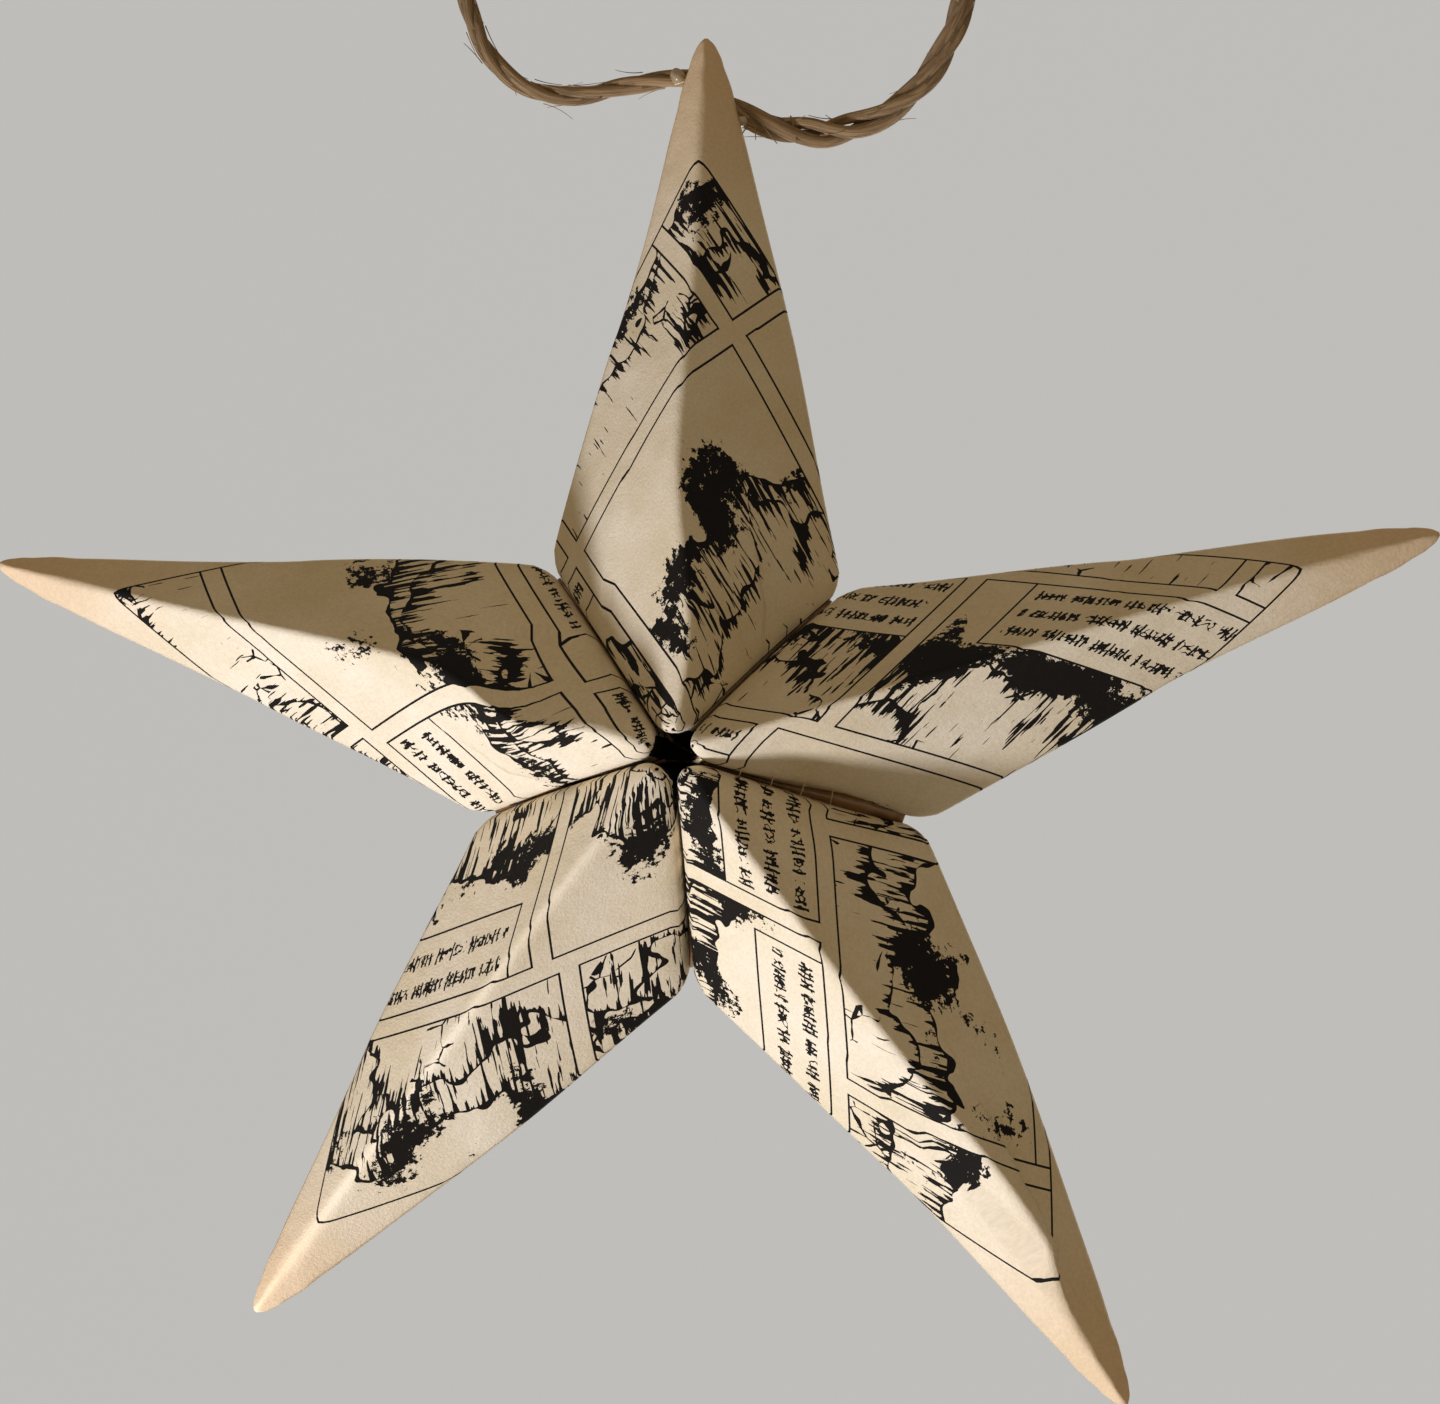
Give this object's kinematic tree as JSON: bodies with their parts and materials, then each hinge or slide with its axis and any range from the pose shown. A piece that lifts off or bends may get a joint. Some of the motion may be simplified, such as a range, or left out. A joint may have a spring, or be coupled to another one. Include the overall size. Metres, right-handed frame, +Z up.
{
  "type": "folded paper star ornament",
  "caption": "Hanging star folded from aged printed book pages, with hollow ridged points glued side by side and a jute twine loop behind the top tip.",
  "frame": {"origin": "inside of the top of the twine loop, where a hook, peg or twig bears", "axes": "+Z up along the top point, -Y towards the viewer of the ridged front, +X to the viewer's right"},
  "size_m": [0.127, 0.0213, 0.1662],
  "materials": {
    "page_paper": "matt aged printed page",
    "hot_glue": "milky hot-melt glue",
    "jute_twine": "twisted jute fibre"
  },
  "bodies": {
    "root": {"point_top": "page_paper", "point_upper_right": "page_paper", "point_lower_right": "page_paper", "point_lower_left": "page_paper", "point_upper_left": "page_paper", "glue_seam_upper_right": "hot_glue", "glue_seam_right": "hot_glue", "glue_seam_bottom": "hot_glue", "glue_seam_left": "hot_glue", "glue_seam_upper_left": "hot_glue", "glue_dab": "hot_glue", "hanging_twine": "jute_twine"}
  },
  "joints": []
}
